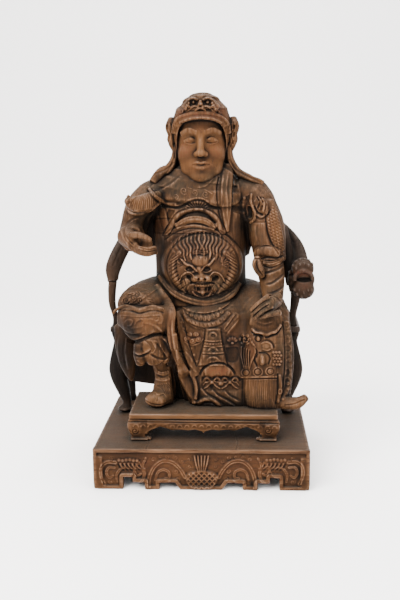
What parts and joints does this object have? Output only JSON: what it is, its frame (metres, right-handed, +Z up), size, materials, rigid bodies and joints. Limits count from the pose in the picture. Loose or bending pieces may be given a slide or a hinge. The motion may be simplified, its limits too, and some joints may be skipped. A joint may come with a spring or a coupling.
{
  "type": "carved seated figure statue",
  "caption": "Carved-wood seated robed and armoured figure in a horseshoe armchair, boots on a footstool, on a notched plinth with a carved front.",
  "frame": {"origin": "middle of the whole object's outline, on the plinth's underside", "axes": "+Z up, -Y the way the figure faces, +X to the viewer's right"},
  "size_m": [0.2624, 0.2108, 0.4513],
  "materials": {
    "figure_wood": "worn, half-matt, with remains of paint",
    "chair_wood": "dark, worn",
    "stool_wood": "worn edges",
    "plinth_wood": "worn, reddish front"
  },
  "bodies": {
    "root": {"plinth": "plinth_wood", "footstool": "stool_wood", "chair_seat": "chair_wood", "arm_post_left": "chair_wood", "arm_post_right": "chair_wood", "back_splat": "chair_wood", "arm_rail": "chair_wood", "figure": "figure_wood"}
  },
  "joints": []
}
